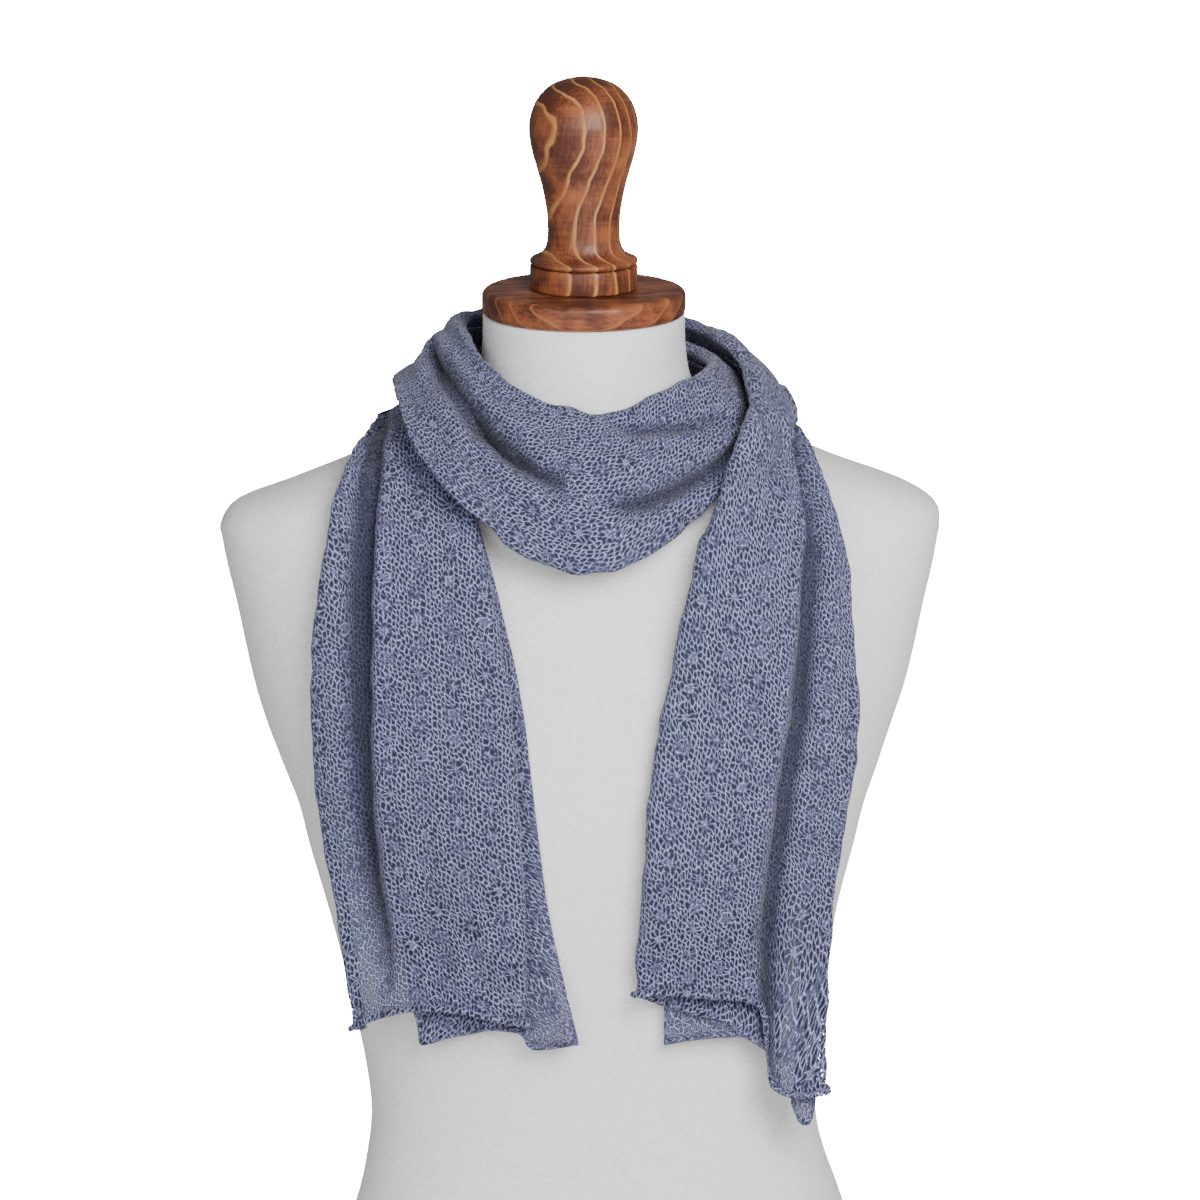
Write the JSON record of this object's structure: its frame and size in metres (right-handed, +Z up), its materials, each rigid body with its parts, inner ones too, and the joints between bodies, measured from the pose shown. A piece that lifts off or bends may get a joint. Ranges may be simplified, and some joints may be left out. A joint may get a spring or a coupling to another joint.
{
  "type": "scarf on a dress form",
  "caption": "Long open-knit scarf wound once round the neck with both tails hanging in front, on a smooth limbless dress form with a wooden neck cap and knob.",
  "frame": {"origin": "the middle of the dress form's flat base", "axes": "+Z up; the form and the scarf's tails face -Y; +X is to the right of a viewer in front"},
  "size_m": [0.379, 0.2203, 0.6862],
  "materials": {
    "knit": "open lace knit in a lavender grey yarn, matt, slightly fuzzy",
    "jersey": "smooth pale cream jersey, matt",
    "wood": "turned reddish brown wood with golden grain, satin varnish"
  },
  "bodies": {
    "root": {"dress_form_body": "jersey", "neck_cap": "wood", "knob_collar": "wood", "knob": "wood", "left_tail": "knit", "inner_nape_wrap": "knit", "front_loop": "knit", "outer_nape_wrap": "knit", "right_tail": "knit"}
  },
  "joints": []
}
